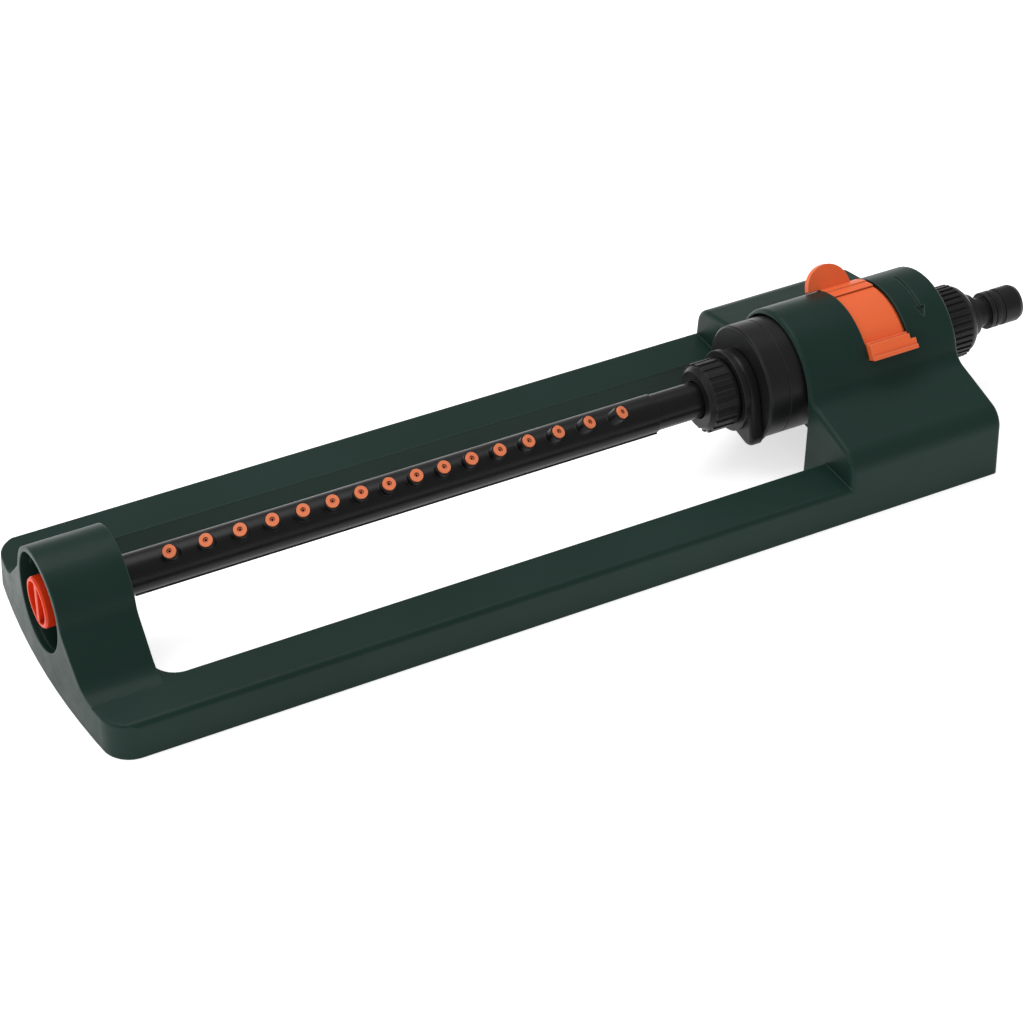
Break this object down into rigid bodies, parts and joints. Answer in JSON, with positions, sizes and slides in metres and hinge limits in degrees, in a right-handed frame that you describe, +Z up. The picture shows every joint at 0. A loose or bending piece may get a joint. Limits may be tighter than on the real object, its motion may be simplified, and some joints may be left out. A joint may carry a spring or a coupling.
{
  "type": "oscillating lawn sprinkler",
  "caption": "Low green frame holding a black spray tube with a row of orange nozzles, swung by a water motor under a humped cover with two orange range sliders.",
  "frame": {"origin": "middle of the footprint at lawn level", "axes": "+X along the spray tube towards the hose connector, -Y the front with the nozzles leaning to it, +Z up"},
  "size_m": [0.4566, 0.1304, 0.0672],
  "materials": {
    "green_shell": "moulded, fine satin grain",
    "black_shell": "moulded, satin",
    "black_tube": "extruded, satin",
    "orange_shell": "moulded, satin",
    "red_orange": "moulded, satin",
    "orange_rubber": "soft, matt",
    "black_rubber": "matt",
    "white_acetal": "smooth, slightly waxy",
    "steel": "plain"
  },
  "bodies": {
    "frame": {"base_frame": "green_shell", "tube_end_bush": "white_acetal", "drum_cap": "black_shell", "spindle_seal": "black_rubber", "motor_housing": "black_shell", "gear_plate": "white_acetal", "jet_plate": "white_acetal", "turbine_pin": "steel", "lay_pin": "steel", "trip_bracket": "white_acetal", "motor_clamps": "black_shell", "clamp_screws": "steel", "inlet_filter": "white_acetal"},
    "tube": {"spray_tube": "black_tube", "nozzle_tips": "orange_rubber", "tube_collar": "black_shell", "tube_adapter": "black_shell", "tube_washer": "black_rubber", "drive_spindle": "black_shell", "output_wheel": "white_acetal"},
    "lay_gear": {"lay_gear": "white_acetal"},
    "turbine": {"turbine_wheel": "white_acetal"},
    "trip_lever": {"trip_lever": "white_acetal"},
    "front_slider": {"front_slider": "orange_shell"},
    "rear_slider": {"rear_slider": "orange_shell"},
    "end_plug": {"end_plug": "red_orange", "cleaning_needle": "steel", "plug_washer": "black_rubber"},
    "connector": {"hose_connector": "black_shell", "nipple_ring": "black_rubber", "connector_washer": "black_rubber"}
  },
  "joints": [
    {"name": "tube_swing", "type": "hinge", "parent": "frame", "child": "tube", "pos_m": [0, 0, 0.0331], "axis": [1, 0, 0], "range_deg": [-75, 15]},
    {"name": "lay_gear_turn", "type": "hinge", "parent": "frame", "child": "lay_gear", "pos_m": [0.1393, 0, 0.0226], "axis": [1, 0, 0], "range_deg": [-42, 207]},
    {"name": "turbine_turn", "type": "hinge", "parent": "frame", "child": "turbine", "pos_m": [0.1543, 0, 0.0331], "axis": [1, 0, 0], "range_deg": [-568, 114]},
    {"name": "trip_lever_turn", "type": "hinge", "parent": "frame", "child": "trip_lever", "pos_m": [0.1303, 0, 0.0476], "axis": [1, 0, 0], "range_deg": [-12, 12]},
    {"name": "front_slider_turn", "type": "hinge", "parent": "frame", "child": "front_slider", "pos_m": [0.1449, 0, 0.0331], "axis": [1, 0, 0], "range_deg": [-18, 0]},
    {"name": "rear_slider_turn", "type": "hinge", "parent": "frame", "child": "rear_slider", "pos_m": [0.1449, 0, 0.0331], "axis": [1, 0, 0], "range_deg": [0, 18]},
    {"name": "end_plug_draw", "type": "slide", "parent": "tube", "child": "end_plug", "axis": [-1, 0, 0], "range_m": [0, 0.025]},
    {"name": "connector_draw", "type": "slide", "parent": "frame", "child": "connector", "axis": [1, 0, 0], "range_m": [0, 0.02]}
  ],
  "couplings": [
    {"joint": "lay_gear_turn", "follows": "tube_swing", "ratio": -2.75},
    {"joint": "turbine_turn", "follows": "tube_swing", "ratio": 7.5625}
  ]
}
